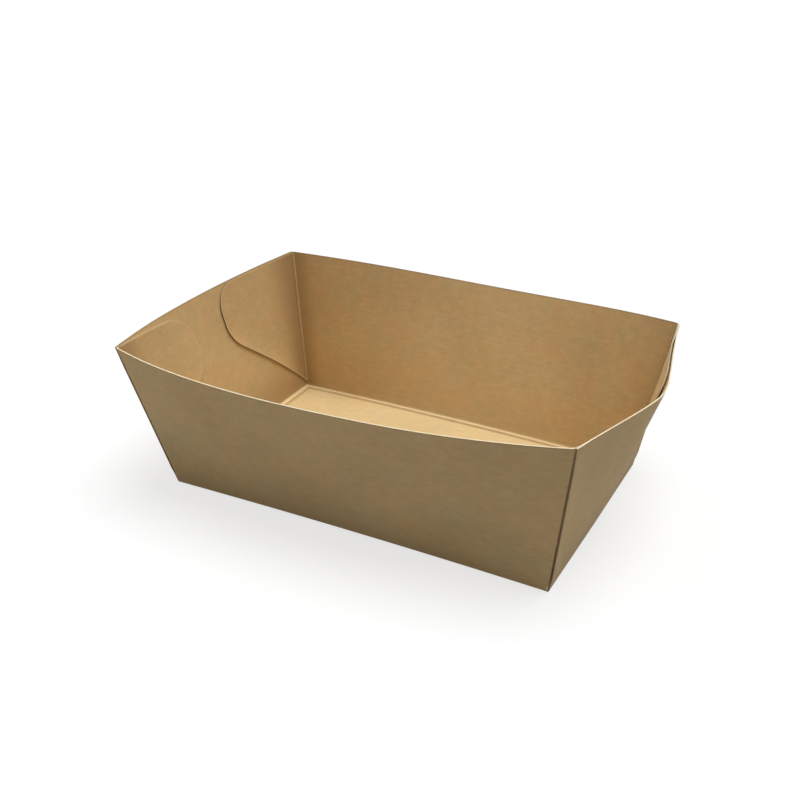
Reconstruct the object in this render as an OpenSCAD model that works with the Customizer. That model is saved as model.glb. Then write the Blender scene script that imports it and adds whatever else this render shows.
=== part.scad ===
// Open food tray folded from one die-cut sheet of kraft paperboard.
// A flat base, two long walls and two end walls flare outwards, and the rim of
// every wall bows out between its corners. At each end of a long wall a
// rounded flap is folded in and glued flat to the inside of the end wall, so
// each end wall is two sheets thick there and one sheet thick in its middle.
// Millimetres, +Z up. The origin is under the middle of the overall box, on
// the plane that the base rests on. +X runs along the long walls.

/* [Base] */
// Length of the base between the two end creases
base_length = 150; // [120:1:190]
// Width of the base between the two long creases
base_width = 94.7; // [75:0.1:125]

/* [Paperboard] */
// Thickness of the board
board = 0.45; // [0.3:0.05:0.7]
// Outside radius of the folds along the base
fold_radius = 0.9; // [0.7:0.05:1.5]
// Width of the raised bead inside a crease, to each side of the fold
bead_width = 1.2; // [0.8:0.1:2]
// Height of that bead
bead_height = 0.25; // [0.1:0.05:0.4]

/* [Corners] */
// Length of each corner fold, from the base to the rim
corner_fold = 60.8; // [45:0.1:80]
// Spread of the front left rim corner past its base corner, along X and Y
front_left_spread = [14.1, 11.3]; // [4:0.1:18]
// Spread of the front right rim corner
front_right_spread = [7.1, 7.1]; // [4:0.1:18]
// Spread of the back right rim corner
back_right_spread = [9.1, 10.1]; // [4:0.1:18]
// Spread of the back left rim corner
back_left_spread = [10.3, 7.4]; // [4:0.1:18]
// Gap between a corner fold and the cut side edge of the end wall
corner_gap = 0.35; // [0.2:0.05:1]

/* [Rim] */
// How far the middle of the front rim stands out past its corners
front_bow = 9.5; // [0:0.5:15]
// The same for the back rim
back_bow = 14.5; // [0:0.5:18]
// The same for the left rim
left_bow = 6.5; // [0:0.5:14]
// The same for the right rim
right_bow = 11; // [0:0.5:14]
// Dip of the cut rim at the middle of the back wall
back_dip = 0.9; // [0:0.1:3]
// Rise of the cut rim at the middle of the left wall
left_rise = 0.4; // [0:0.1:2]
// Rise of the cut rim at the middle of the right wall
right_rise = 0.2; // [0:0.1:2]

/* [Flaps] */
// Reach of the two front flaps along the end wall's rim
front_flap_reach = 45.3; // [25:0.1:50]
// Reach of the two back flaps
back_flap_reach = 49.2; // [25:0.1:50]
// Height of a flap's foot above the base, at the corner
flap_foot = 2.6; // [2.2:0.1:5]
// Angle at which a flap's lower edge climbs
flap_rise_angle = 36; // [20:1:38]
// Radius of a flap's lower corner
flap_low_round = 8; // [3:0.5:9]
// Radius of a flap's upper corner
flap_top_round = 11; // [3:0.5:11]
// How far a flap's upper edge starts below the rim
flap_top_margin = 0.5; // [0.3:0.1:2]
// How far the front flaps' upper edge falls away from the rim at their tip
front_flap_fall = 3.5; // [0:0.1:5]
// The same for the back flaps
back_flap_fall = 1.4; // [0:0.1:4]

/* [Hidden] */

// Shape of each rim. The first number moves its peak along the wall. A long
// wall bows in one curve, and its second number is the fullness: above 0 is
// flatter in the middle than a parabola. An end wall is stiff where its flaps
// double it and bends between them, and its second number is how soft that
// bend is: near 0 is a crease, and above 1 is one even curve.
front_shape = [-0.06, 0.35];
back_shape = [-0.22, -0.15];
right_shape = [-0.12, 0.14];
left_shape = [0.24, 1.7];

long_steps = 26;    // divisions along a long wall
middle_steps = 6;   // divisions of an end wall between its flaps
flap_steps = 5;     // divisions along the plain part of a flap
round_steps = 7;    // divisions around a flap's free end
fold_steps = 3;     // divisions around a fold
bead_steps = 4;     // divisions across a crease bead
lip = 3;            // width of the base's border that is built with the walls
cut = 0.06;         // run of a cut edge across the board's thickness

half_x = base_length / 2;
half_y = base_width / 2;
edge_start = board + corner_gap;

// One wall: half its base crease, distance of that crease from the centre,
// spread of its first and second rim corner as [along, outwards], bow, shape,
// dip of the rim, is it an end wall, reach of its first and second flap, and
// fall of the first and second flap's upper edge.
function swap(v) = [v[1], v[0]];
walls = [
    [half_x, half_y, front_left_spread, front_right_spread,
        front_bow, front_shape, 0, false, 0, 0, 0, 0],
    [half_y, half_x, swap(front_right_spread), swap(back_right_spread),
        right_bow, right_shape, -right_rise, true,
        front_flap_reach, back_flap_reach, front_flap_fall, back_flap_fall],
    [half_x, half_y, back_right_spread, back_left_spread,
        back_bow, back_shape, back_dip, false, 0, 0, 0, 0],
    [half_y, half_x, swap(back_left_spread), swap(front_left_spread),
        left_bow, left_shape, -left_rise, true,
        back_flap_reach, front_flap_reach, back_flap_fall, front_flap_fall]
];

function mix(a, b, f) = a + (b - a) * f;
function part_way(s) = (s + 1) / 2;

// Height of the wall's panel, measured on the sheet, at s from -1 to 1
function panel(w, s) =
    mix(sqrt(corner_fold ^ 2 - w[2][0] ^ 2),
        sqrt(corner_fold ^ 2 - w[3][0] ^ 2), part_way(s)) - w[6] * (1 - s * s);
// A rim's bow, 1 at the middle and 0 at both corners
function even_curve(shape, s) =
    (1 - s * s) * (1 + shape[0] * s + shape[1] * s * s);
function soft_bend(shape, s) =
    let (soft = shape[1], far = norm([1, soft]))
    (far - norm([s, soft])) / (far - soft) * (1 + shape[0] * s);
// How far the rim stands out past the base crease
function run(w, s) =
    mix(w[2][1], w[3][1], part_way(s))
    + w[4] * (w[7] ? soft_bend(w[5], s) : even_curve(w[5], s));
function lean(w, s) = asin(run(w, s) / panel(w, s));
function rim_height(w, s) = panel(w, s) * cos(lean(w, s));
function rim_along(w, s) =
    mix(-w[0] - w[2][0], w[0] + w[3][0], part_way(s));
function half_rim(w) = w[0] + (w[2][0] + w[3][0]) / 2;

// Point of a section: outwards from the crease and up, at d up the sheet and
// at a depth inside the face that the corner folds lie in
function up_wall(lean, d, depth) =
    [d * sin(lean) - depth * cos(lean), d * cos(lean) + depth * sin(lean)];

// Outside of the fold, for a sheet whose outer face is at this depth
function fold_points(lean, depth) =
    let (turn = 90 - lean,
         corner = -depth / cos(lean),
         centre = [corner - fold_radius * tan(turn / 2), fold_radius])
    [for (i = [0:fold_steps])
        let (a = turn * i / fold_steps)
        centre + fold_radius * [sin(a), -cos(a)]];

// Distance up the sheet at which the bead ends on the wall
function bead_end(lean, depth) =
    (board - depth * sin(lean)) / cos(lean) + bead_width;

// Inside of the fold, from the wall down to the base
function bead_points(lean, depth) =
    let (top = up_wall(lean, bead_end(lean, depth), depth),
         corner = up_wall(lean, bead_end(lean, depth) - bead_width, depth),
         foot = [corner[0] - bead_width, board],
         away = [foot[1] - top[1], top[0] - foot[0]] / norm(top - foot))
    [for (i = [0:bead_steps])
        let (f = i / bead_steps)
        mix(top, foot, f) + bead_height * 4 * f * (1 - f) * away];

// A station is [s, kind, [four distances up the sheet]]. Its kind is 0 where
// one sheet stands alone, 1 where a flap lies inside the end wall and 2 where
// the end wall stands alone. The distances are those of the step at a flap's
// upper edge and of the step at its lower edge.
function section(w, st) =
    let (a = lean(w, st[0]),
         top = panel(w, st[0]),
         outer = st[1] == 0 ? 0 : -board,
         inner = st[1] == 0 ? board : 0,
         flap = st[1] == 2 ? 0 : board,
         d = st[2],
         low = bead_end(a, inner))
    concat(
        [[-lip, 0]],
        fold_points(a, outer),
        [for (f = [1, 2, 3]) up_wall(a, top * f / 3, outer)],
        st[1] == 0
            ? [up_wall(a, top, board / 3), up_wall(a, top, board * 2 / 3)]
            : [up_wall(a, top, 0), up_wall(a, d[0], 0)],
        [for (f = [0, 1, 2, 3]) up_wall(a, mix(d[1], d[2], f / 3), flap)],
        [up_wall(a, d[3], inner), up_wall(a, mix(d[3], low, 0.5), inner)],
        bead_points(a, inner),
        [[-lip, board]]);

// Distances up the sheet for a plain stretch
function plain(w, s) =
    let (top = panel(w, s)) [top, top, top * 0.35, top * 0.2];
// Drop of a rounded corner at x from the flap's free end
function round_drop(r, x) = x >= r ? 0 : r - sqrt(r * r - (r - x) ^ 2);
// Distances up the sheet at distance x from the corner, on a flap
function on_flap(w, s, x, reach, fall) =
    let (top = panel(w, s) - flap_top_margin - fall * x / reach
             - round_drop(flap_top_round, reach - x),
         bottom = flap_foot + x * tan(flap_rise_angle)
             + round_drop(flap_low_round, reach - x))
    [top + cut, top, bottom, bottom - cut];

// Distances of the stations from the corner, along a flap
function flap_stops(reach) =
    let (plain_end = reach - max(flap_top_round, flap_low_round))
    concat(
        [edge_start + cut],
        [for (i = [1:flap_steps])
            mix(edge_start, plain_end, i / flap_steps)],
        [for (i = [1:round_steps])
            mix(plain_end, reach, sin(90 * i / round_steps))]);

function at_flap(w, x, first) =
    let (s = (1 - x / half_rim(w)) * (first ? -1 : 1))
    [s, 1, on_flap(w, s, x, first ? w[8] : w[9], first ? w[10] : w[11])];

// All stations of a wall after its first corner and before its second one
function long_stations(w) =
    [for (i = [1:long_steps - 1])
        let (s = -1 + 2 * i / long_steps) [s, 0, plain(w, s)]];
function end_stations(w) =
    let (near = flap_stops(w[8]),
         far = flap_stops(w[9]),
         n = len(far),
         s0 = -1 + edge_start / half_rim(w),
         m0 = at_flap(w, w[8], true),
         m1 = at_flap(w, w[9], false),
         thin = cut / half_rim(w))
    concat(
        [[s0, 0, corner_rows(w, s0)]],
        [for (x = near) at_flap(w, x, true)],
        [for (i = [0:middle_steps])
            let (f = i / middle_steps)
            [mix(m0[0] + thin, m1[0] - thin, f), 2, mix(m0[2], m1[2], f)]],
        [for (i = [1:n]) at_flap(w, far[n - i], false)],
        [[-s0, 0, corner_rows(w, -s0)]]);
function corner_rows(w, s) =
    let (top = panel(w, s)) [top, top, flap_foot, flap_foot - cut];

// A section's points placed round the tray: wall i is turned by i quarters
function turned(p, i) =
    i == 0 ? p : turned([-p[1], p[0], p[2]], i - 1);
function placed(w, i, s, p) =
    let (along = s * (w[0] + min(0, p[0]))
             + (rim_along(w, s) - s * w[0]) * p[1] / rim_height(w, s))
    turned([along, -w[1] - p[0], p[1]], i);
function wall_ring(i) =
    let (w = walls[i])
    [for (st = w[7] ? end_stations(w) : long_stations(w))
        [for (p = section(w, st)) placed(w, i, st[0], p)]];
// The section in which wall i meets the next wall
function corner_ring(i) =
    let (w = walls[i],
         v = walls[(i + 1) % 4],
         p = section(w, [1, 0, corner_rows(w, 1)]),
         q = section(v, [-1, 0, corner_rows(v, -1)]))
    [for (k = [0:len(p) - 1])
        turned([w[0] + q[k][0], -w[1] - p[k][0], (p[k][1] + q[k][1]) / 2], i)];

rings = [for (i = [0:3]) each concat(wall_ring(i), [corner_ring(i)])];
rows = len(rings[0]);

// Centre of the overall box, which the origin is moved to
xs = [for (r = rings) each [for (p = r) p[0]]];
ys = [for (r = rings) each [for (p = r) p[1]]];
middle = [(min(xs) + max(xs)) / 2, (min(ys) + max(ys)) / 2];

module walls_and_border() {
    count = len(rings);
    polyhedron(
        points = [for (r = rings) each r],
        faces = [for (i = [0:count - 1]) for (k = [0:rows - 1])
            let (a = i * rows + k,
                 b = i * rows + (k + 1) % rows,
                 c = ((i + 1) % count) * rows + (k + 1) % rows,
                 d = ((i + 1) % count) * rows + k)
            each [[a, b, c], [a, c, d]]]);
}

module bowl() {
    color("tan")
    translate([-middle[0], -middle[1], 0])
    union() {
        walls_and_border();
        translate([lip / 2 - half_x, lip / 2 - half_y, 0])
            cube([base_length - lip, base_width - lip, board]);
    }
}

bowl();
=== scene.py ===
"""Open food tray folded from one sheet of kraft paperboard.

The sheet is laid out flat, folded up into its walls and flaps, given its
thickness, and finished as fibrous brown board with pale cut edges.
Metres, +Z up. +X runs along the long walls, and the base rests at Z = 0.
"""

import math

import bmesh
import bpy
from mathutils import Matrix, Vector


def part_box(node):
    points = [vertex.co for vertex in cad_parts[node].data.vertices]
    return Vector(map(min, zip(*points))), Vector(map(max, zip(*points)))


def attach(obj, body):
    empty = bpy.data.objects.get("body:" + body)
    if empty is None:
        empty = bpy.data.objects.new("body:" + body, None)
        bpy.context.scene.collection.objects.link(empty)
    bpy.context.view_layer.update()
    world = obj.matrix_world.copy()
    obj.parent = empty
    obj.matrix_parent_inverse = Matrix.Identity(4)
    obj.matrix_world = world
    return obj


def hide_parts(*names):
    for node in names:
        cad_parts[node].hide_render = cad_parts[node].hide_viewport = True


bl_info = {
    "name": "Folded Board Tray",
    "version": (1, 0, 0),
    "blender": (4, 5, 0),
    "location": "View3D > Sidebar > Tray",
    "description": "Makes an open tray folded from one sheet of kraft paperboard",
    "category": "Add Mesh",
}

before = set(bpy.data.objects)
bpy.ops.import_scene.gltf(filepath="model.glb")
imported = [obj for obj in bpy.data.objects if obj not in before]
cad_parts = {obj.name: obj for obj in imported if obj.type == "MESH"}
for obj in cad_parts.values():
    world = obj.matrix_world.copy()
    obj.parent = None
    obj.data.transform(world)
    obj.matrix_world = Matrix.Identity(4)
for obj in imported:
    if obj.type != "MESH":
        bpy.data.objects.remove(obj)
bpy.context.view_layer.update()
NODE_LOW, NODE_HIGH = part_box("bowl")

MM = 0.001


def length(name, description, default, low=0.0, high=1.0):
    """A length in metres, shown with its unit."""
    return bpy.props.FloatProperty(
        name=name,
        description=description,
        default=default,
        min=low,
        max=high,
        precision=5,
        unit="LENGTH",
    )


def spread(name, description, default):
    """A length along X and one along Y."""
    return bpy.props.FloatVectorProperty(
        name=name,
        description=description,
        default=default,
        size=2,
        min=0.0,
        max=0.05,
        precision=5,
        unit="LENGTH",
    )


def colour(name, description, default):
    """A surface colour, in linear light."""
    return bpy.props.FloatVectorProperty(
        name=name,
        description=description,
        default=default,
        size=3,
        min=0.0,
        max=1.0,
        subtype="COLOR",
    )


def factor(name, description, default, low=0.0, high=1.0):
    """A plain number."""
    return bpy.props.FloatProperty(
        name=name, description=description, default=default, min=low, max=high
    )


def angle(name, description, degrees):
    """An angle, given in degrees."""
    return bpy.props.FloatProperty(
        name=name, description=description, default=math.radians(degrees), subtype="ANGLE"
    )


class TraySheet(bpy.types.PropertyGroup):
    """Sizes of the sheet and of the way it is folded."""

    base_length: length("Base Length", "Between the two end creases", 150 * MM)
    base_width: length("Base Width", "Between the two long creases", 94.7 * MM)
    base_middle: bpy.props.FloatVectorProperty(
        name="Base Middle",
        description="Middle of the base in the model's frame",
        default=(0.011 * MM, -2.286 * MM, 0),
        size=3,
        precision=6,
        unit="LENGTH",
        subtype="XYZ",
    )
    base_arch: length("Base Arch", "Rise of the base at half its length", 0.9 * MM)
    board: length("Board", "Thickness of the board", 0.45 * MM)
    fold_radius: length("Fold Radius", "Outside radius of the base folds", 0.9 * MM)
    corner_round: length("Corner Round", "Reach of the bend at a corner", 1.2 * MM)
    bead_reach: length("Bead Reach", "Bead inside a crease, on the base", 2.1 * MM)
    bead_height: length("Bead Height", "Height of that bead", 0.52 * MM)
    corner_bead: length("Corner Bead", "Height of a corner fold's bead", 0.3 * MM)
    corner_fold: length("Corner Fold", "Length of each corner fold", 60.8 * MM)
    corner_gap: length("Corner Gap", "Corner fold to the end wall's edge", 0.45 * MM)
    side_gape: length("Side Gape", "How far that edge stands off", 0.42 * MM)
    front_left: spread("Front Left", "Rim past base", (14.1 * MM, 11.3 * MM))
    front_right: spread("Front Right", "Rim past base", (7.1 * MM, 7.1 * MM))
    back_right: spread("Back Right", "Rim past base", (9.1 * MM, 10.1 * MM))
    back_left: spread("Back Left", "Rim past base", (10.3 * MM, 7.4 * MM))
    front_bow: length("Front Bow", "Rim's middle past its corners", 9.5 * MM)
    back_bow: length("Back Bow", "Rim's middle past its corners", 14.5 * MM)
    left_bow: length("Left Bow", "Rim's middle past its corners", 6.5 * MM)
    right_bow: length("Right Bow", "Rim's middle past its corners", 11 * MM)
    back_dip: length("Back Dip", "Dip of the cut rim at its middle", 0.9 * MM)
    left_rise: length("Left Rise", "Rise of the cut rim at its middle", 0.4 * MM)
    right_rise: length("Right Rise", "Rise of the cut rim at its middle", 0.2 * MM)
    front_reach: length("Front Flap Reach", "Along the end wall", 45.3 * MM)
    back_reach: length("Back Flap Reach", "Along the end wall", 48.4 * MM)
    front_fall: length("Front Flap Fall", "Upper edge's fall", 3.5 * MM)
    back_fall: length("Back Flap Fall", "Upper edge's fall", 0.3 * MM)
    flap_foot: length("Flap Foot", "Height of a flap's foot", 2.4 * MM)
    flap_margin: length("Flap Margin", "Flap's top below the rim", 0.2 * MM)
    flap_angle: angle("Flap Angle", "Climb of a flap's lower edge", 36)
    low_round: length("Lower Round", "A flap's lower corner", 6 * MM)
    top_round: length("Upper Round", "A flap's upper corner", 11 * MM)
    glue_gap: length("Glue Gap", "Film between a flap and its wall", 0.05 * MM)
    back_lift: length("Back Lift", "How far a back flap's edge stands off", 0.24 * MM)
    front_lift: length("Front Lift", "The same for a front flap", 0.14 * MM)
    right_lift: length("Right Lift", "The same for a right flap's top", 0.5 * MM)
    ripple: length("Ripple", "Slow waves in the walls", 0.22 * MM)


class TrayBoard(bpy.types.PropertyGroup):
    """Colours and finish of the board."""

    inside: colour("Inside", "Inner face of the board", (0.61, 0.422, 0.198))
    # The outside is a little darker than the inside: painted shade for the outer faces.
    outside: colour("Outside", "Outer face of the board", (0.56, 0.388, 0.181))
    edge: colour("Cut Edge", "Pale fibres of the cut edge", (0.90, 0.76, 0.52))
    mottle: factor("Mottle", "Strength of the cloudy mottling", 0.5)
    fibre: factor("Fibre", "Strength of the fibre grain", 0.5)
    roughness: factor("Roughness", "Mean roughness", 0.72)


class TrayStage(bpy.types.PropertyGroup):
    """Camera, floor and light."""

    azimuth: angle("Azimuth", "Camera's turn from the front towards +X", 26.79)
    elevation: angle("Elevation", "Camera's height above the horizon", 27.03)
    roll: angle("Roll", "Camera's turn about its own axis", 0.68)
    distance: length("Distance", "Camera from the base", 449.95 * MM)
    aside: length("Aside", "Camera moved to its right", -3.55 * MM, low=-0.1)
    above: length("Above", "Camera moved up its picture", 28.70 * MM, low=-0.1)
    lens: factor("Lens", "Focal length in millimetres", 51.896, high=200)
    floor_seen: colour("Floor", "Floor as the camera sees it", (0.95, 0.95, 0.95))
    floor_bounce: colour("Bounce", "Floor as it lights the tray", (0.42, 0.42, 0.42))
    sky: factor("Sky", "Light from all round", 0.18, high=5)
    shadow: factor("Shadow", "Depth of the shadow on the floor", 0.28)
    key: factor("Key", "Strength of the large soft lamp", 2.76, high=20)
    fill: factor("Fill", "Strength of the low lamp at the left", 0.85, high=5)
    key_azimuth: angle("Key Azimuth", "Turn of the soft lamp from the front towards +X", 137)
    key_elevation: angle("Key Elevation", "Height of the soft lamp above the horizon", 78.5)
    fill_azimuth: angle("Fill Azimuth", "Turn of the low lamp from the front towards +X", -82)
    fill_elevation: angle("Fill Elevation", "Height of the low lamp above the horizon", 14)
    key_size: angle("Key Size", "Width of the soft lamp, as an angle", 40)
    fill_size: angle("Fill Size", "Width of the low lamp, as an angle", 90)


def blend(a, b, f):
    """Part way from a to b."""
    return a + (b - a) * f


def ease(f):
    """0 to 1 with a soft start and end."""
    f = min(max(f, 0.0), 1.0)
    return f * f * (3 - 2 * f)


def swell(f):
    """A round-topped bump, 1 at f = 0 and 0 past f = 1 on both sides."""
    return (1 - f * f) ** 2 if abs(f) < 1 else 0.0


def rounded(radius, x):
    """Drop of a rounded corner, x from the end of the edge."""
    return 0.0 if x >= radius else radius - math.sqrt(radius**2 - (radius - x) ** 2)


# Slow waves in a wall: how far they shift from one wall to the next, their
# turns in radians from the wall's middle to its corner, and how soon they
# start above the crease and fade towards the rim.
WAVE_SHIFT = 1.7
LONG_WAVE = 5.1
SHORT_WAVE = 8.7
SHORT_WAVE_SLANT = 2.3
SHORT_WAVE_SHARE = 0.7
WAVE_START = 2.5
WAVE_FADE = 0.6

# Over what length each form comes and goes: the rounding of a corner fold
# above the flap's foot, the flap's step down from the rim, the lifts of its
# edges, and the film of glue behind it.
FOLD_GRIP = 2.5 * MM
MARGIN_RUN = 5 * MM
EDGE_LIFT_RUN = 6 * MM
TOP_LIFT_RUN = 9 * MM
GLUE_RUN = 6 * MM
LIFT_START = 3 * MM
LIFT_RUN = 16 * MM


class Wall:
    """One wall and the strip of base along its crease.

    s runs from -1 at the wall's first corner to 1 at its second, and rise
    from 0 at the crease to 1 at the rim. turns counts the quarter turns from
    the front wall, so that the end walls have the odd ones.
    """

    def __init__(self, sheet, turns, first, second, bow, dip, skew, body):
        self.sheet = sheet
        self.turns = turns
        self.is_end = turns % 2 == 1
        self.half = sheet.base_length / 2
        self.crease = sheet.base_width / 2
        self.first = tuple(first)
        self.second = tuple(second)
        if self.is_end:
            self.half, self.crease = self.crease, self.half
            self.first = self.first[::-1]
            self.second = self.second[::-1]
        self.bow = bow
        self.dip = dip
        self.skew = skew
        self.body = body
        self.outer = -sheet.board if self.is_end else 0.0
        self.quarter = Matrix.Rotation(math.pi / 2 * turns, 3, "Z")

    def panel(self, s):
        """Length of the sheet from the crease to the rim."""
        fold = self.sheet.corner_fold
        first = math.sqrt(fold**2 - self.first[0] ** 2)
        second = math.sqrt(fold**2 - self.second[0] ** 2)
        return blend(first, second, (s + 1) / 2) - self.dip * (1 - s * s)

    def bulge(self, s):
        """Bow of the rim, 1 near its middle and 0 at both corners."""
        if self.is_end:
            far = math.hypot(1, self.body)
            round_bow = (far - math.hypot(s, self.body)) / (far - self.body)
            return round_bow * (1 + self.skew * s)
        return (1 - s * s) * (1 + self.skew * s + self.body * s * s)

    def lean(self, s):
        """Lean of the wall out of the upright, in radians."""
        run = blend(self.first[1], self.second[1], (s + 1) / 2)
        run += self.bow * self.bulge(s)
        return math.asin(run / self.panel(s))

    def side_spread(self, s):
        """How much further along the rim is than the crease, at s."""
        return blend(-self.first[0], self.second[0], (s + 1) / 2)

    def half_rim(self):
        """Half the length of the rim between its corners."""
        return self.half + (self.first[0] + self.second[0]) / 2

    def wave(self, s, rise):
        """Slow waves that die out at the creases."""
        turn = self.turns * WAVE_SHIFT
        waves = math.sin(LONG_WAVE * s + turn)
        short = math.sin(SHORT_WAVE * s - SHORT_WAVE_SLANT * rise + turn)
        waves += SHORT_WAVE_SHARE * short
        hold = (1 - s * s) * ease(rise * WAVE_START) * (1 - WAVE_FADE * rise)
        return self.sheet.ripple * waves * hold

    def place(self, s, out, height, rise):
        """A point of the wall's section, in its place on the tray."""
        flat = s * (self.half + min(0.0, out))
        along = flat + self.side_spread(s) * rise
        spot = Vector((along, -self.crease - out, height))
        foot = self.quarter @ Vector((flat, -self.crease - min(0.0, out), 0))
        half_length = self.sheet.base_length / 2
        arch = self.sheet.base_arch * (1 - (foot.x / half_length) ** 2)
        return self.quarter @ spot + Vector((0, 0, arch * (1 - rise)))

    def blank(self, s, out):
        """The same point while the sheet lies flat."""
        rise = max(0.0, out) / self.panel(s)
        along = s * (self.half + min(0.0, out)) + self.side_spread(s) * rise
        return self.quarter @ Vector((along, -self.crease - out, 0))

    def up(self, s, distance, depth):
        """A point at a distance up the sheet and a depth into it."""
        lean = self.lean(s)
        rise = distance / self.panel(s)
        depth = depth - self.wave(s, rise)
        out = distance * math.sin(lean) - depth * math.cos(lean)
        height = distance * math.cos(lean) + depth * math.sin(lean)
        return self.place(s, out, height, rise)

    def around_fold(self, s, f):
        """A point of the outer face on the base fold, f from 0 to 1."""
        lean = self.lean(s)
        turn = math.pi / 2 - lean
        radius = self.sheet.fold_radius
        corner = -self.outer / math.cos(lean)
        centre = corner - radius * math.tan(turn / 2)
        out = centre + radius * math.sin(turn * f)
        height = radius - radius * math.cos(turn * f)
        return self.place(s, out, height, height / self.panel(s))


class Corner:
    """A corner fold, where a long wall runs on into the flap that it carries.

    wall_end and end_side say at which end of the long wall and of the end
    wall it is: -1 at the first, 1 at the second.
    """

    def __init__(self, wall, wall_end, end_wall, reach, fall, edge_lift, top_lift, edge_light):
        self.sheet = wall.sheet
        self.wall = wall
        self.wall_end = wall_end
        self.end_wall = end_wall
        self.end_side = -wall_end
        self.is_right = end_wall.turns == 1
        self.reach = reach
        self.fall = fall
        self.edge_lift = edge_lift
        self.top_lift = top_lift
        self.edge_light = edge_light

    def wall_point(self, x, rise):
        """x from the fold on the long wall, at a share of its height."""
        half = self.wall.half + abs(self.wall.side_spread(self.wall_end)) * rise
        s = self.wall_end * (1 - x / half)
        return self.wall.up(s, rise * self.wall.panel(s), 0.0)

    def flap_s(self, x):
        """Where on the end wall the flap is, x from the fold."""
        return self.end_side * (1 - x / self.end_wall.half_rim())

    def flap_point(self, x, rise, depth):
        """x from the fold on the flap, at a depth inside the end wall's face."""
        s = self.flap_s(x)
        return self.end_wall.up(s, rise * self.end_wall.panel(s), depth)

    def bent(self, x, rise, plain):
        """Rounds the sheet near the fold. x is below 0 on the long wall."""
        reach = self.sheet.corner_round
        if abs(x) >= reach:
            return plain
        f = (x + reach) / (2 * reach)
        before = self.wall_point(reach, rise)
        fold = self.wall_point(0.0, rise)
        after = self.flap_point(reach, rise, 0.0)
        curve = before * (1 - f) ** 2 + fold * 2 * f * (1 - f) + after * f * f
        height = rise * self.wall.panel(self.wall_end)
        grip = ease((height - self.sheet.flap_foot) / FOLD_GRIP)
        return blend(plain, curve, grip)

    def edges(self, x):
        """Lower and upper edge of the flap at x, as shares of the height."""
        sheet = self.sheet
        panel = self.end_wall.panel(self.flap_s(x))
        low = sheet.flap_foot / sheet.corner_fold * panel
        low += x * math.tan(sheet.flap_angle)
        low += rounded(sheet.low_round, self.reach - x)
        top = panel - sheet.flap_margin * ease(x / MARGIN_RUN)
        top -= self.fall * x / self.reach
        top -= rounded(sheet.top_round, self.reach - x)
        return low / panel, top / panel

    def flap(self, x, share):
        """A point of the flap's outer face, share from 0 to 1 of its height.

        Gives its share of the wall's height, its place, and how far it is
        from the flap's nearest edge.
        """
        sheet = self.sheet
        low, top = self.edges(x)
        rise = blend(low, top, share)
        panel = self.end_wall.panel(self.flap_s(x))
        margin = min((rise - low) * panel, self.reach - x)
        under_top = (top - rise) * panel
        lift = self.edge_lift * (1 - ease(margin / EDGE_LIFT_RUN)) ** 2
        lift += self.top_lift * (1 - ease(under_top / TOP_LIFT_RUN)) ** 2
        depth = sheet.glue_gap + lift * ease((x - LIFT_START) / LIFT_RUN)
        depth *= ease((x - sheet.corner_round) / GLUE_RUN)
        plain = self.flap_point(x, rise, depth)
        return rise, self.bent(x, rise, plain), min(margin, under_top)

    def blank(self, x, rise):
        """Where a point of the flap lies on the flat sheet."""
        start = self.wall.blank(self.wall_end, rise * self.wall.panel(self.wall_end))
        along = self.wall.quarter @ Vector((1, 0, 0))
        return start + along * (self.wall_end * x)


def tray_walls(sheet):
    """The four walls in turn: front, right, back and left."""
    front_left, front_right = sheet.front_left, sheet.front_right
    back_right, back_left = sheet.back_right, sheet.back_left
    rims = (
        # first and second corner, bow, dip, skew and body of the bow
        (front_left, front_right, sheet.front_bow, 0.0, -0.06, 0.35),
        (front_right, back_right, sheet.right_bow, -sheet.right_rise, -0.12, 0.14),
        (back_right, back_left, sheet.back_bow, sheet.back_dip, -0.22, -0.15),
        (back_left, front_left, sheet.left_bow, -sheet.left_rise, 0.24, 1.7),
    )
    return [Wall(sheet, turns, *rim) for turns, rim in enumerate(rims)]


# Columns: distances from a fold, and how many lie between the close ones.
NEAR_FOLD = [d * MM for d in (0, 0.15, 0.35, 0.6, 0.9, 1.2, 1.7, 2.6, 4)]
BASE_COLUMNS = 72
BASE_ROWS = 46
FLAP_COLUMNS = 14
ROUND_COLUMNS = 18

# Rows of a wall: the strip of base before the crease, the fold, the foot
# below the flaps, and the shares of the height that wall and flaps have.
FLAT_ROWS = [d * MM for d in (-3, -2.4, -2.15, -2.05, -1.9, -1.75, -1.5, -1)]
LIP = -FLAT_ROWS[0]
FOLD_ROWS = 6
FOLD_RUN = 0.75 * MM
FOOT_ROWS = [d * MM for d in (1, 1.25, 1.55, 1.9, 2.2)]
EDGE_SHARES = [0.0, 0.005, 0.01, 0.017, 0.027, 0.045]
INNER_SHARES = [k / 28 for k in range(2, 27)]
HEIGHT_SHARES = EDGE_SHARES + INNER_SHARES + [1 - f for f in EDGE_SHARES[::-1]]

# The bead along a crease: its steep side, its slope and a corner's half width.
BEAD_STEP = 0.4 * MM
BEAD_SLOPE = 1.5 * MM
CORNER_BEAD_HALF = 0.9 * MM

# The side edge of an end wall.
FOOT_CLEAR = 0.3 * MM
GAPE_RUN = 9 * MM
GAPE_START = 4 * MM
GAPE_TOP = 0.85
GAPE_FADE = 0.5

# Painted shade near the folds, in the corners and in the recess beside a corner fold, and a
# pale scuff: how strong each is, and how far it reaches.
END_FOOT_SHADE = 1.25
LONG_FOOT_SHADE = 0.35
FOOT_SHADE_RUN = 24 * MM
RIGHT_CORNER_SHADE = 0.25
CORNER_SHADE_RUN = 10 * MM
FLAP_SHADE = 1.4
RIGHT_FLAP_SHADE_RUN = 13 * MM
LEFT_FLAP_SHADE_RUN = 20 * MM
LEFT_FLAP_RECESS_SHADE = 0.5
RECESS_SHADE_RUN = 0.8 * MM
FLAP_RECESS_SHADE_RUN = 1.5 * MM
SCUFF_RUN = 1 * MM
SCUFF_HEIGHT = 1.7 * MM
SCUFF_HALF = 1.3 * MM
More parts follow.
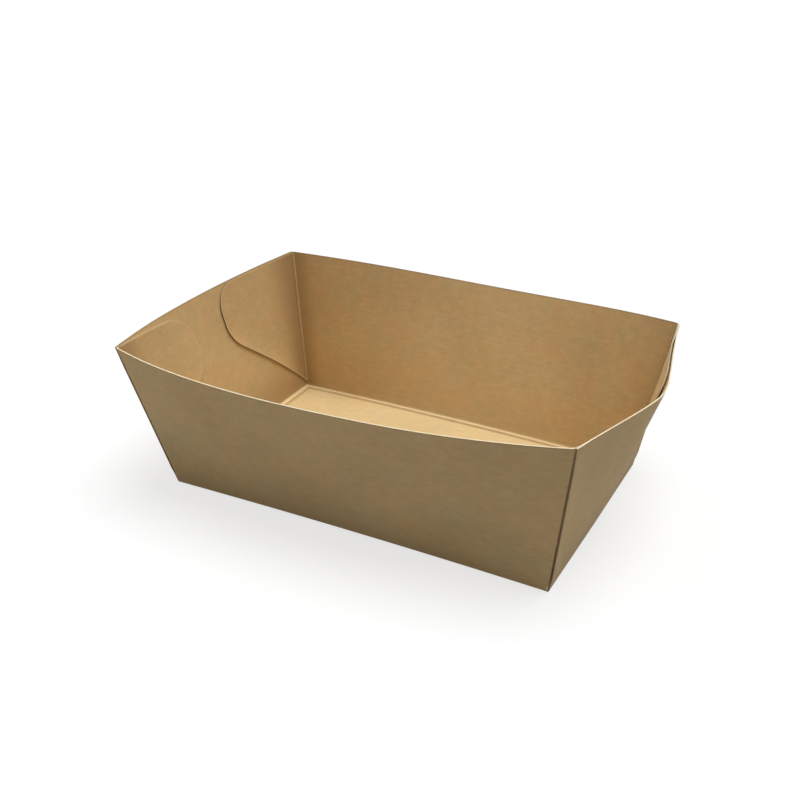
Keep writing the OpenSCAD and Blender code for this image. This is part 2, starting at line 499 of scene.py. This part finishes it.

# Paleness of the cut edge, painted light and shade: lit edges pale, shaded ones dark.
LIT_RIM = 1.0
SHADED_RIM = 0.25
FRONT_FLAP_EDGE_LIGHT = 0.6
BACK_FLAP_EDGE_LIGHT = 0.4
AT_EDGE = 0.01 * MM

# Distances to a wall's rim are below -RIM_MARK, those to a flap's edge from 0 up.
RIM_MARK = 0.1 * MM

# Points closer than this are one point, and turns sharper than this are edges.
WELD = 0.001 * MM
SHARP = math.radians(40)


def spaced(half, count):
    """Stations from -1 to 1, close together near both ends."""
    near = [1 - d / half for d in NEAR_FOLD]
    inner = near[-1]
    middle = [inner * (1 - 2 * i / count) for i in range(1, count)]
    return [-s for s in near] + [-s for s in middle] + near[::-1]


def base_bead(sizes, out):
    """Height of the bead inside a base crease: steep on its base side."""
    if out < 0:
        return sizes.bead_height * ease((sizes.bead_reach + out) / BEAD_STEP)
    return sizes.bead_height * (1 - ease(out / BEAD_SLOPE))


def corner_bead(sizes, x):
    """Height of the bead inside a corner fold."""
    return sizes.corner_bead * swell(x / CORNER_BEAD_HALF)


class Sheet:
    """The sheet of board while it is being made.

    Its points carry their place on the flat sheet and marks for the finish.
    """

    def __init__(self, sizes):
        self.sizes = sizes
        self.bm = bmesh.new()
        self.flat = self.bm.verts.layers.float_vector.new("blank")
        marks = self.bm.verts.layers.float
        self.near = marks.new("fold_distance")
        self.bead = marks.new("bead")
        self.rim = marks.new("rim")
        self.edge = marks.new("edge_distance")
        self.fold_shade = marks.new("fold_shade")
        self.scuff = marks.new("scuff")
        self.recess_shade = marks.new("recess_shade")

    def panel(self, columns, rows, spot):
        """Adds a grid and folds each of its points to where spot says.

        spot gives a point's place, its place on the flat sheet, its distance
        from the nearest fold, its height of bead and its other marks.
        """
        made = bmesh.ops.create_grid(
            self.bm, x_segments=columns - 1, y_segments=rows - 1, size=1.0
        )
        for v in made["verts"]:
            i = round((v.co.x + 1) / 2 * (columns - 1))
            j = round((v.co.y + 1) / 2 * (rows - 1))
            v.co, v[self.flat], v[self.near], v[self.bead], marks = spot(i, j)
            for mark, value in marks:
                v[mark] = value

    def base(self, across, up):
        """The base inside the strips that come with the walls."""
        sizes = self.sizes
        half_x = sizes.base_length / 2
        half_y = sizes.base_width / 2

        def spot(i, j):
            x = across[i] * (half_x - LIP)
            y = up[j] * (half_y - LIP)
            z = sizes.base_arch * (1 - (x / half_x) ** 2)
            near = -min(half_x - abs(x), half_y - abs(y))
            return Vector((x, y, z)), Vector((x, y, 0)), near, 0.0, []

        self.panel(len(across), len(up), spot)

    def end_face(self, wall, s, out):
        """A point of an end wall above its fold, and its marks."""
        sizes = self.sizes
        rise = out / wall.panel(s)
        side = (1 - abs(s)) * wall.half_rim()
        gape = 1 - ease((side - sizes.corner_gap) / GAPE_RUN)
        gape *= sizes.side_gape * ease((out - sizes.flap_foot) / GAPE_START)
        gape *= 1 - GAPE_FADE * ease((rise - GAPE_TOP) / (1 - GAPE_TOP))
        # Painted shade at the foot of an end wall, darkest towards the crease.
        fold_shade = END_FOOT_SHADE * (1 - ease(out / FOOT_SHADE_RUN))
        return wall.up(s, out, wall.outer - gape), [(self.fold_shade, fold_shade)]

    def long_face(self, wall, corner, s, out):
        """A point of a long wall above its fold, and its marks.

        Also gives its distance from the nearest fold and the corner's bead.
        """
        rise = out / wall.panel(s)
        side_spread = abs(wall.side_spread(corner.wall_end))
        x = (1 - abs(s)) * (wall.half + side_spread * rise)
        place = corner.bent(-x, rise, wall.up(s, out, wall.outer))
        # Painted shade near the corner folds, weaker at the right ones, and along the wall's
        # foot.
        fold_shade = RIGHT_CORNER_SHADE if corner.is_right else 1.0
        fold_shade *= 1 - ease(x / CORNER_SHADE_RUN)
        fold_shade += LONG_FOOT_SHADE * (1 - ease(out / FOOT_SHADE_RUN))
        marks = [(self.fold_shade, fold_shade)]
        if corner.is_right and wall.turns == 0:
            scuff = ease(1 - x / SCUFF_RUN) * swell((out - SCUFF_HEIGHT) / SCUFF_HALF)
            marks.append((self.scuff, scuff))
        # A painted dark line of shade in the recess beside a right corner fold.
        if corner.is_right and out > self.sizes.flap_foot:
            marks.append((self.recess_shade, 1 - ease(x / RECESS_SHADE_RUN)))
        if out < self.sizes.flap_foot:
            return place, out, 0.0, marks
        return place, min(out, x), corner_bead(self.sizes, x), marks

    def wall(self, wall, stations, corners):
        """A wall, its base fold and the strip of base beside that."""
        sizes = self.sizes
        first_rise = len(FLAT_ROWS) + FOLD_ROWS + 1
        low = sizes.flap_foot / sizes.corner_fold
        shares = [blend(low, 1.0, share) for share in HEIGHT_SHARES]
        rows = first_rise + len(FOOT_ROWS) + len(shares)

        def spot(i, j):
            s = stations[i]
            if j < len(FLAT_ROWS):
                out = FLAT_ROWS[j]
                bead = base_bead(sizes, out)
                return wall.place(s, out, 0.0, 0.0), wall.blank(s, out), out, bead, []
            k = j - first_rise
            if k < 0:
                f = (j - len(FLAT_ROWS)) / FOLD_ROWS
                out = (2 * f - 1) * FOLD_RUN
            elif k < len(FOOT_ROWS):
                out = FOOT_ROWS[k]
            else:
                out = shares[k - len(FOOT_ROWS)] * wall.panel(s)
            if wall.is_end:
                above = (out - sizes.flap_foot) / sizes.flap_foot
                clear = blend(FOOT_CLEAR, sizes.corner_gap, ease(above))
                s *= 1 - clear / wall.half
            near = out
            bead = base_bead(sizes, out)
            if k < 0:
                place = wall.around_fold(s, f)
                marks = []
            elif wall.is_end:
                place, marks = self.end_face(wall, s, out)
            else:
                corner = corners[1 if s > 0 else -1]
                place, near, more_bead, marks = self.long_face(wall, corner, s, out)
                bead += more_bead
            marks.append((self.edge, out - wall.panel(s) - RIM_MARK))
            if j == rows - 1:
                # Front and right rims are painted pale as lit, back and left ones dark as
                # shaded.
                marks.append((self.rim, LIT_RIM if wall.turns < 2 else SHADED_RIM))
            return place, wall.blank(s, out), near, bead, marks

        self.panel(len(stations), rows, spot)

    def flap(self, corner):
        """A flap, from its corner fold to its rounded free end."""
        sizes = self.sizes
        bend = max(sizes.top_round, sizes.low_round)
        plain = corner.reach - bend
        shares = [k / FLAP_COLUMNS for k in range(1, FLAP_COLUMNS + 1)]
        turns = [math.pi / 2 * k / ROUND_COLUMNS for k in range(1, ROUND_COLUMNS + 1)]
        stops = NEAR_FOLD + [blend(NEAR_FOLD[-1], plain, share) for share in shares]
        stops += [plain + bend * math.sin(turn) for turn in turns]
        # Painted shade on a flap near its corner fold, reaching further at the left.
        fold_shade_run = RIGHT_FLAP_SHADE_RUN if corner.is_right else LEFT_FLAP_SHADE_RUN
        # Painted shade in the recess beside the corner fold, full at the right flaps and half
        # at the left.
        recess_shade = 1.0 if corner.is_right else LEFT_FLAP_RECESS_SHADE
        last = len(HEIGHT_SHARES) - 1

        def spot(i, j):
            x = stops[i]
            rise, place, margin = corner.flap(x, HEIGHT_SHARES[j])
            marks = [
                (self.edge, margin),
                (self.fold_shade, FLAP_SHADE * (1 - ease(x / fold_shade_run))),
                (self.recess_shade, recess_shade * (1 - ease(x / FLAP_RECESS_SHADE_RUN - 0.5))),
            ]
            if j == last or corner.wall.turns == 0 and margin < AT_EDGE:
                marks.append((self.rim, corner.edge_light))
            return place, corner.blank(x, rise), x, corner_bead(sizes, x), marks

        self.panel(len(stops), len(HEIGHT_SHARES), spot)

    def finish(self):
        """Joins the panels along their folds and gives the sheet its thickness.

        The faces get slot 0 inside, 1 outside and 2 on the cut edge.
        """
        bm = self.bm
        bmesh.ops.remove_doubles(bm, verts=bm.verts, dist=WELD)
        # In one sheet without holes, points and faces are one more than edges,
        # and no two panels meet in a single point.
        one_sheet = len(bm.verts) + len(bm.faces) == len(bm.edges) + 1
        if not one_sheet or not all(v.is_manifold for v in bm.verts):
            raise RuntimeError("The panels don't meet along all their folds")
        bmesh.ops.recalc_face_normals(bm, faces=bm.faces)
        low = min(bm.faces, key=lambda f: f.calc_center_median().z)
        if low.normal.z > 0:
            bmesh.ops.reverse_faces(bm, faces=bm.faces)
        bm.normal_update()
        outer = set(bm.verts)
        bmesh.ops.solidify(bm, geom=bm.faces[:], thickness=self.sizes.board)
        bm.normal_update()
        for v in bm.verts:
            if v not in outer:
                v.co += v.normal * v[self.bead]
        for face in bm.faces:
            count = sum(v in outer for v in face.verts)
            face.smooth = True
            face.material_index = 0 if count == 0 else 1 if count == len(face.verts) else 2
        return bm


class FoldSheet(bpy.types.Operator):
    """Fold the tray from one sheet of board"""

    bl_idname = "tray.fold_sheet"
    bl_label = "Fold the Sheet"

    def execute(self, context):
        sheet = context.scene.tray_sheet
        front, right, back, left = tray_walls(sheet)
        front_size = sheet.front_reach, sheet.front_fall, sheet.front_lift
        back_size = sheet.back_reach, sheet.back_fall, sheet.back_lift
        corners = [
            Corner(front, 1, right, *front_size, sheet.right_lift, FRONT_FLAP_EDGE_LIGHT),
            Corner(back, -1, right, *back_size, sheet.right_lift, BACK_FLAP_EDGE_LIGHT),
            Corner(back, 1, left, *back_size, 0.0, 0.0),
            Corner(front, -1, left, *front_size, 0.0, FRONT_FLAP_EDGE_LIGHT),
        ]
        across = spaced(sheet.base_length / 2, BASE_COLUMNS)
        up = spaced(sheet.base_width / 2, BASE_ROWS)
        made = Sheet(sheet)
        made.base(across, up)
        for wall in (front, back, right, left):
            carried = {corner.wall_end: corner for corner in corners if corner.wall is wall}
            made.wall(wall, up if wall.is_end else across, carried)
        for corner in corners:
            made.flap(corner)
        bm = made.finish()
        bmesh.ops.translate(bm, verts=bm.verts, vec=Vector(sheet.base_middle))
        # The waves and lifts stay inside the solid's box.
        for v in bm.verts:
            v.co = [min(max(c, NODE_LOW[k]), NODE_HIGH[k]) for k, c in enumerate(v.co)]
        unfolded = bm.loops.layers.uv.new("blank")
        for face in bm.faces:
            for loop in face.loops:
                loop[unfolded].uv = loop.vert[made.flat].xy
        mesh = bpy.data.meshes.new("folded_sheet")
        bm.to_mesh(mesh)
        bm.free()
        mesh.set_sharp_from_angle(angle=SHARP)
        piece = bpy.data.objects.new("folded_sheet", mesh)
        context.scene.collection.objects.link(piece)
        looks = context.scene.tray_board
        mesh.materials.append(board_face("board_inside", looks, looks.inside, 3.0, True))
        mesh.materials.append(board_face("board_outside", looks, looks.outside, 11.0, False))
        mesh.materials.append(cut_edge(looks))
        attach(piece, "root")
        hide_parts("bowl")
        return {"FINISHED"}


class Wire:
    """A value in a node tree. Arithmetic on it adds Math nodes."""

    def __init__(self, nodes, socket):
        self.nodes = nodes
        self.socket = socket

    def math(self, operation, *values):
        """A Math node on the values given, of which one is this wire."""
        return self.nodes.add(
            "ShaderNodeMath", {"operation": operation}, dict(enumerate(values))
        )

    def __add__(self, other):
        return self.math("ADD", self, other)

    def __radd__(self, other):
        return self.math("ADD", other, self)

    def __sub__(self, other):
        return self.math("SUBTRACT", self, other)

    def __rsub__(self, other):
        return self.math("SUBTRACT", other, self)

    def __mul__(self, other):
        return self.math("MULTIPLY", self, other)

    def __rmul__(self, other):
        return self.math("MULTIPLY", other, self)

    def __abs__(self):
        return self.math("ABSOLUTE", self)

    def between(self, low, high):
        """0 below low, 1 above high and a soft step between them."""
        return self.nodes.add(
            "ShaderNodeMapRange",
            {"interpolation_type": "SMOOTHSTEP"},
            {"Value": self, "From Min": low, "From Max": high},
            "Result",
        )

    def band(self, start, full, fading, end):
        """1 from full to fading and 0 before start and after end, all in mm."""
        return self.between(start * MM, full * MM) - self.between(fading * MM, end * MM)


class Nodes:
    """A node tree while it is being written."""

    def __init__(self, tree):
        self.tree = tree
        tree.nodes.clear()

    def add(self, kind, settings=None, values=None, output=0):
        """Adds a node, sets it up and returns one of its outputs, if it has any."""
        node = self.tree.nodes.new(kind)
        for name, value in (settings or {}).items():
            setattr(node, name, value)
        for name, value in (values or {}).items():
            if isinstance(value, Wire):
                self.tree.links.new(value.socket, node.inputs[name])
            else:
                node.inputs[name].default_value = value
        return Wire(self, node.outputs[output]) if node.outputs else None

    def mark(self, name):
        """A mark that the sheet's points carry."""
        return self.add("ShaderNodeAttribute", {"attribute_name": name}, output="Fac")

    def noise(self, where, scale, detail, rough=0.5, seed=0.0, distortion=0.0):
        """Soft noise from about 0 to 1."""
        return self.add(
            "ShaderNodeTexNoise",
            {"noise_dimensions": "4D"},
            {
                "Vector": where,
                "W": seed,
                "Scale": scale,
                "Detail": detail,
                "Roughness": rough,
                "Distortion": distortion,
            },
        )

    def hairs(self, where, stretch, turn, scale, seed, distortion, thin, thick):
        """Thin lines along the level curves of a noise."""
        turned = self.stretched(where, (stretch, 1.0, 1.0), turn)
        hills = self.noise(turned, scale, 2, 0.5, seed, distortion)
        return 1 - abs(hills - 0.5).between(thin, thick)

    def mix(self, f, a, b, blend_type="MIX"):
        """Colour a where f is 0 and b where it is 1."""
        return self.add(
            "ShaderNodeMix",
            {"data_type": "RGBA", "blend_type": blend_type},
            {0: f, 6: a, 7: b},
            2,
        )

    def stretched(self, where, scale, turn=0.0):
        """Coordinates turned and scaled by different amounts."""
        return self.add(
            "ShaderNodeMapping",
            {"vector_type": "POINT"},
            {"Vector": where, "Rotation": (0, 0, turn), "Scale": scale},
        )

    def seen(self):
        """1 for what the camera sees, also by way of metal and glass, else 0."""
        straight, glossy, through = (
            self.add("ShaderNodeLightPath", output=f"Is {ray} Ray")
            for ray in ("Camera", "Glossy", "Transmission")
        )
        either = straight.math("MAXIMUM", straight, glossy)
        return either.math("MAXIMUM", either, through)


def new_material(name):
    """A material, and its empty node tree."""
    material = bpy.data.materials.new(name)
    material.use_nodes = True
    return material, Nodes(material.node_tree)


def matt_surface(made, colour, roughness, height, strength, distance):
    """Ends a material in a matt surface with a bump."""
    bump = made.add(
        "ShaderNodeBump", {}, {"Height": height, "Strength": strength, "Distance": distance}
    )
    shader = made.add(
        "ShaderNodeBsdfPrincipled",
        {},
        {
            "Base Color": colour,
            "Roughness": roughness,
            "Normal": bump,
            "Specular IOR Level": 0.5,
        },
    )
    made.add("ShaderNodeOutputMaterial", {}, {"Surface": shader})


def shade(colour, amount, warmth=0.0):
    """A colour made lighter or darker, and a little warmer or cooler."""
    return (
        colour[0] * amount * (1 + warmth),
        colour[1] * amount,
        colour[2] * amount * (1 - warmth),
        1.0,
    )


def board_face(name, looks, base, seed, inner):
    """One face of the board: mottled brown with long fibres and flecks."""
    material, made = new_material(name)
    flat = made.add("ShaderNodeUVMap", {"uv_map": "blank"})
    grain = made.stretched(flat, (0.16, 1.0, 1.0), math.radians(2))
    fold = made.mark("fold_distance")
    edge = made.mark("edge_distance")

    clouds = made.noise(flat, 34, 2, 0.5, seed)
    formation = made.noise(flat, 260, 4, 0.6, seed + 1)
    streaks = made.noise(grain, 900, 3, 0.55, seed + 2)
    fibres = made.noise(grain, 3800, 3, 0.6, seed + 3, 0.4)
    pores = made.noise(flat, 5200, 2, 0.5, seed + 4)
    pale_hairs = made.hairs(flat, 0.5, 0.5, 420, seed + 5, 1.6, 0.004, 0.016)
    dark_hairs = made.hairs(flat, 0.5, -0.6, 330, seed + 6, 1.8, 0.003, 0.012)
    gaps = made.noise(flat, 420, 1, 0.5, seed + 7).between(0.5, 0.6)
    specks = made.add(
        "ShaderNodeTexVoronoi",
        {"voronoi_dimensions": "4D", "feature": "F1"},
        {"Vector": grain, "W": seed + 8, "Scale": 700, "Randomness": 1.0},
    )
    flecks = (1 - specks.between(0.05, 0.16)) * gaps
    # Lighter along the folds: worn fibres, and a painted highlight on the corner beads.
    wear_and_highlight = (1 - abs(fold).between(0.0, 0.9 * MM)) * streaks.between(0.35, 0.65)

    mottle = looks.mottle
    fibre = looks.fibre
    tone = (clouds - 0.5) * (1.3 * mottle) + (formation - 0.5) * (1.2 * mottle)
    tone = tone + (streaks - 0.5) * (1.1 * fibre) + (fibres - 0.5) * (0.8 * fibre)
    tone = tone + (pores - 0.5) * (0.4 * fibre) + 0.5
    body = made.mix(tone, shade(base, 0.72, 0.06), shade(base, 1.28, -0.03))
    hue = made.noise(flat, 75, 2, 0.6, seed + 9).between(0.3, 0.7)
    cast = made.mix(hue, (1.04, 0.99, 0.95, 1.0), (0.96, 1.01, 1.02, 1.0))
    body = made.mix(1.0, body, cast, "MULTIPLY")

    # What lies on that, in turn: where and how strong, lightness and warmth.
    tints = [
        (pale_hairs * gaps * 0.22, 1.45, -0.02),
        (dark_hairs * (1 - gaps) * 0.2, 0.6, 0.08),
        (flecks * 0.5, 0.5, 0.1),
    ]
    if inner:
        # Painted sheen that makes the inside of the base lighter and cooler.
        base_sheen = 1 - fold.between(-4 * MM, -2.6 * MM)
        # Painted shade along the bead's low side on the base.
        groove_shade = fold.band(-3, -2.6, -2.2, -1.9)
        # Painted highlight on the bead inside a crease.
        crest_highlight = fold.band(-2.1, -1.8, 0, 1.5)
        # Painted shade in the hollows beside a fold's bead.
        beside = fold.band(0.4, 0.9, 1, 2.2)
        # Painted highlight along a flap's raised edges.
        edge_highlight = edge.band(0, 0.1, 0.3, 0.7)
        tints += [
            # Painted shade near the folds and in the corners.
            (made.mark("fold_shade") * 0.8, 0.62, 0.1),
            (base_sheen * 0.3, 1.35, -0.14),
            (crest_highlight * 0.5, 1.5, -0.12),
            (groove_shade * 0.65, 0.48, 0.05),
            (beside * 0.5, 0.66, 0.03),
            (edge_highlight * 0.5, 1.45, -0.05),
            # Painted shade in the recess beside a corner fold.
            (made.mark("recess_shade") * 0.8, 0.4, 0.05),
        ]
    else:
        tints.append((made.mark("scuff"), 2.4, -0.25))
    under_rim = edge.band(-0.9, -0.3, -0.05, 0)
    tints += [(under_rim * 0.45, 0.5, 0.0), (wear_and_highlight * 0.4, 1.3, -0.04)]
    for where, lightness, warmth in tints:
        body = made.mix(where, body, shade(base, lightness, warmth))

    roughness = looks.roughness + (formation - 0.5) * 0.2 + (fibres - 0.5) * 0.15
    height = fibres * 0.5 + streaks * 0.6 + pores * 0.25 + formation * 0.8
    height = height + pale_hairs * 0.25
    matt_surface(made, body, roughness, height, 0.35, 0.12 * MM)
    return material


def cut_edge(looks):
    """The cut edge: pale torn fibres, dark where the light doesn't catch them."""
    material, made = new_material("board_cut_edge")
    where = made.add("ShaderNodeTexCoord", output="Object")
    fibres = made.noise(where, 2600, 3, 0.6, 21.0)
    patches = made.noise(where, 240, 2, 0.5, 22.0)
    tone = (fibres - 0.5) * 0.5 + (patches - 0.5) * 0.6 + 0.5
    base = looks.edge
    # Painted light and shade: lit edges pale, shaded ones dark, as the rim mark says.
    pale = made.mix(tone, shade(base, 0.75, 0.05), shade(base, 1.12, -0.02))
    dark = made.mix(tone, shade(base, 0.2, 0.12), shade(base, 0.34, 0.08))
    body = made.mix(made.mark("rim").between(0.1, 0.9), dark, pale)
    matt_surface(made, body, 0.85, fibres, 0.4, 0.1 * MM)
    return material


def floor_finish(stage):
    """A pale floor that lights the tray from below only a little."""
    material, made = new_material("pale_floor")
    seen = made.seen()
    body = made.mix(seen, (*stage.floor_bounce, 1.0), (*stage.floor_seen, 1.0))
    lit = made.add("ShaderNodeBsdfDiffuse", {}, {"Color": body})
    white = made.add("ShaderNodeEmission", {}, {"Color": (1, 1, 1, 1), "Strength": 1.0})
    both = made.add(
        "ShaderNodeMixShader", {}, {0: seen * (1 - stage.shadow), 1: lit, 2: white}
    )
    made.add("ShaderNodeOutputMaterial", {}, {"Surface": both})
    return material


def sky_light(stage):
    """Even light from all round, on a white backdrop."""
    world = bpy.data.worlds.new("studio")
    world.use_nodes = True
    made = Nodes(world.node_tree)
    strength = made.seen() * (1 - stage.sky) + stage.sky
    light = made.add(
        "ShaderNodeBackground", {}, {"Color": (1, 1, 1, 1), "Strength": strength}
    )
    made.add("ShaderNodeOutputWorld", {}, {"Surface": light})
    return world


def direction(azimuth, elevation):
    """Unit vector towards that bearing, 0 being the front."""
    level = math.cos(elevation)
    return Vector(
        (math.sin(azimuth) * level, -math.cos(azimuth) * level, math.sin(elevation))
    )


def soft_lamp(name, strength, size, aim):
    """A wide lamp so far away that it lights the whole floor evenly."""
    lamp = bpy.data.lights.new(name, "SUN")
    lamp.energy = strength
    lamp.angle = size
    holder = bpy.data.objects.new(name, lamp)
    holder.rotation_mode = "QUATERNION"
    holder.rotation_quaternion = aim.to_track_quat("Z", "Y")
    holder.location = aim
    bpy.context.scene.collection.objects.link(holder)


FLOOR_HALF = 30.0
FLOOR_DROP = 0.02 * MM
SENSOR_WIDTH = 36
VIEW_NEAR = 0.01
VIEW_FAR = 100


class SetStage(bpy.types.Operator):
    """Set up the floor, the light and the camera"""

    bl_idname = "tray.set_stage"
    bl_label = "Set the Stage"

    def execute(self, context):
        scene = context.scene
        stage = scene.tray_stage
        bm = bmesh.new()
        bmesh.ops.create_grid(bm, x_segments=1, y_segments=1, size=FLOOR_HALF)
        bmesh.ops.translate(bm, verts=bm.verts, vec=(0, 0, -FLOOR_DROP))
        mesh = bpy.data.meshes.new("floor")
        bm.to_mesh(mesh)
        bm.free()
        mesh.materials.append(floor_finish(stage))
        floor = bpy.data.objects.new("floor", mesh)
        scene.collection.objects.link(floor)

        scene.world = sky_light(stage)
        key = direction(stage.key_azimuth, stage.key_elevation)
        fill = direction(stage.fill_azimuth, stage.fill_elevation)
        soft_lamp("soft_lamp", stage.key, stage.key_size, key)
        soft_lamp("fill_lamp", stage.fill, stage.fill_size, fill)

        back = direction(stage.azimuth, stage.elevation)
        level = (-back).cross(Vector((0, 0, 1))).normalized()
        upright = level.cross(-back)
        right = level * math.cos(stage.roll) + upright * math.sin(stage.roll)
        up = upright * math.cos(stage.roll) - level * math.sin(stage.roll)
        camera = bpy.data.cameras.new("camera")
        camera.lens = stage.lens
        camera.sensor_width = SENSOR_WIDTH
        camera.clip_start = VIEW_NEAR
        camera.clip_end = VIEW_FAR
        eye = bpy.data.objects.new("camera", camera)
        spot = Vector(scene.tray_sheet.base_middle)
        spot += back * stage.distance + right * stage.aside + up * stage.above
        turn = Matrix((right, up, back)).transposed()
        eye.matrix_world = Matrix.Translation(spot) @ turn.to_4x4()
        scene.collection.objects.link(eye)
        scene.camera = eye
        scene.view_settings.view_transform = "Standard"
        return {"FINISHED"}


class TrayPanel(bpy.types.Panel):
    """Makes the tray and its stage"""

    bl_idname = "VIEW3D_PT_board_tray"
    bl_label = "Board Tray"
    bl_space_type = "VIEW_3D"
    bl_region_type = "UI"
    bl_category = "Tray"

    def draw(self, context):
        scene = context.scene
        layout = self.layout
        layout.operator(FoldSheet.bl_idname)
        layout.operator(SetStage.bl_idname)
        for group in (scene.tray_sheet, scene.tray_board, scene.tray_stage):
            box = layout.box()
            for name in group.bl_rna.properties.keys():
                if name not in {"rna_type", "name"}:
                    box.prop(group, name)


CLASSES = (TraySheet, TrayBoard, TrayStage, FoldSheet, SetStage, TrayPanel)


def register():
    """Registers the classes and hangs their settings on the scene."""
    for cls in CLASSES:
        bpy.utils.register_class(cls)
    bpy.types.Scene.tray_sheet = bpy.props.PointerProperty(type=TraySheet)
    bpy.types.Scene.tray_board = bpy.props.PointerProperty(type=TrayBoard)
    bpy.types.Scene.tray_stage = bpy.props.PointerProperty(type=TrayStage)


def unregister():
    """Takes away what register added."""
    del bpy.types.Scene.tray_stage
    del bpy.types.Scene.tray_board
    del bpy.types.Scene.tray_sheet
    for cls in reversed(CLASSES):
        bpy.utils.unregister_class(cls)


def main():
    """Makes the tray and its stage."""
    register()
    bpy.ops.tray.fold_sheet()
    bpy.ops.tray.set_stage()


if __name__ == "__main__":
    main()
